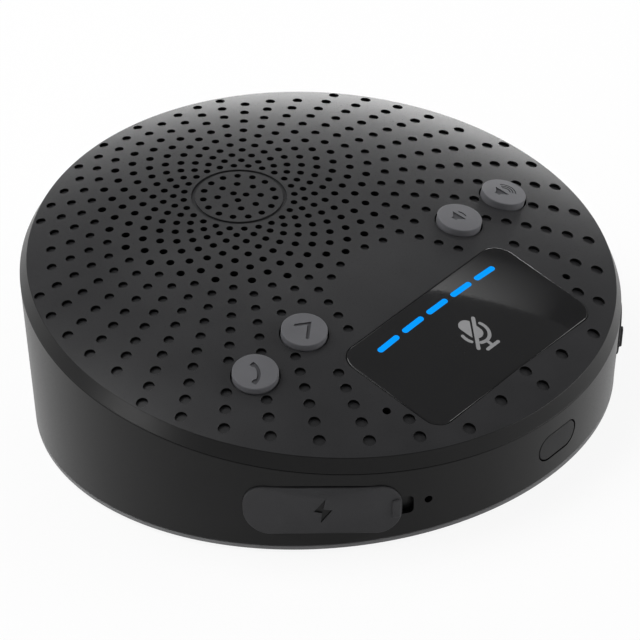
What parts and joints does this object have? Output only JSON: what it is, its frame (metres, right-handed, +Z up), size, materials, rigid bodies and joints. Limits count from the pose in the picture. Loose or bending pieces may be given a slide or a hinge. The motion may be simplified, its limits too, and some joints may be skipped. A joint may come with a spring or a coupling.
{
  "type": "conference speakerphone",
  "caption": "Wedge-shaped round speakerphone with a domed perforated top, raised round buttons, a lit touch panel and hinged port covers on its wall.",
  "frame": {"origin": "on the table under the middle of the body", "axes": "+Z up from the table, -Y to the front where the touch panel is, X across the mirror plane of the body"},
  "size_m": [0.1226, 0.1217, 0.041],
  "materials": {
    "plate": "satin dark grey",
    "wall": "fine grain dark grey",
    "trim": "satin grey",
    "rubber": "matte black",
    "flap": "matte dark grey",
    "button": "satin mid grey",
    "panel": "gloss black",
    "light": "lit blue",
    "board": "green circuit board",
    "chip": "black moulding",
    "steel": "plated steel",
    "magnet": "grey ferrite",
    "copper": "enamelled copper",
    "paper": "pressed paper",
    "cloth": "black acoustic cloth",
    "foam": "grey foam",
    "battery": "wrapped cell",
    "ribbon": "amber film"
  },
  "bodies": {
    "body": {"top_cover": "plate", "main_housing": "wall", "base_cover": "wall", "base_trim_ring": "trim", "foot_ring": "rubber", "base_screw_1": "steel", "base_screw_2": "steel", "base_screw_3": "steel", "base_screw_4": "steel", "touch_panel": "panel", "light_guide": "light", "led_board": "board", "call_switch": "chip", "skip_switch": "chip", "volume_down_switch": "chip", "volume_up_switch": "chip", "left_key_board": "board", "right_key_board": "board", "top_microphone_left": "steel", "top_microphone_left_boot": "rubber", "top_microphone_right": "steel", "top_microphone_right_boot": "rubber", "side_microphone_left": "steel", "side_microphone_left_boot": "rubber", "side_microphone_right": "steel", "side_microphone_right_boot": "rubber", "power_switch": "chip", "usb_c_socket": "steel", "aux_jack": "chip", "main_board": "board", "processor_chip": "chip", "radio_module": "steel", "battery": "battery", "battery_tray": "wall", "battery_lead": "rubber", "speaker_lead": "rubber", "touch_ribbon": "ribbon", "left_key_ribbon": "ribbon", "right_key_ribbon": "ribbon", "speaker_frame": "chip", "speaker_top_plate": "steel", "speaker_magnet": "magnet", "speaker_yoke": "steel", "speaker_surround": "rubber", "speaker_spider": "ribbon", "speaker_gasket": "foam", "grille_cloth": "cloth"},
    "call_key": {"call_button": "button"},
    "skip_key": {"skip_button": "button"},
    "volume_down_key": {"volume_down_button": "button"},
    "volume_up_key": {"volume_up_button": "button"},
    "power_key": {"power_button": "wall"},
    "charge_cover": {"charge_port_cover": "flap"},
    "aux_cover": {"aux_port_cover": "flap"},
    "cone": {"speaker_cone": "paper", "speaker_dust_cap": "paper", "voice_coil": "copper"}
  },
  "joints": [
    {"name": "call_press", "type": "slide", "parent": "body", "child": "call_key", "axis": [0.1563, 0.2304, -0.9605], "range_m": [0, 0.0005], "stiffness_N_per_m": 1500},
    {"name": "skip_press", "type": "slide", "parent": "body", "child": "skip_key", "axis": [0.0869, 0.2254, -0.9704], "range_m": [0, 0.0005], "stiffness_N_per_m": 1500},
    {"name": "volume_down_press", "type": "slide", "parent": "body", "child": "volume_down_key", "axis": [-0.0869, 0.2254, -0.9704], "range_m": [0, 0.0005], "stiffness_N_per_m": 1500},
    {"name": "volume_up_press", "type": "slide", "parent": "body", "child": "volume_up_key", "axis": [-0.1563, 0.2304, -0.9605], "range_m": [0, 0.0005], "stiffness_N_per_m": 1500},
    {"name": "power_press", "type": "slide", "parent": "body", "child": "power_key", "axis": [0, 1, 0], "range_m": [0, 0.0005], "stiffness_N_per_m": 1500},
    {"name": "charge_cover_hinge", "type": "hinge", "parent": "body", "child": "charge_cover", "pos_m": [-0.05568, -0.02383, 0.0113], "axis": [0, 0, -1], "range_deg": [0, 100]},
    {"name": "aux_cover_hinge", "type": "hinge", "parent": "body", "child": "aux_cover", "pos_m": [0.05568, -0.02383, 0.0113], "axis": [0, 0, 1], "range_deg": [0, 100]},
    {"name": "cone_stroke", "type": "slide", "parent": "body", "child": "cone", "axis": [0, -0.1002, 0.995], "range_m": [-0.0008, 0.0008], "stiffness_N_per_m": 1500}
  ]
}
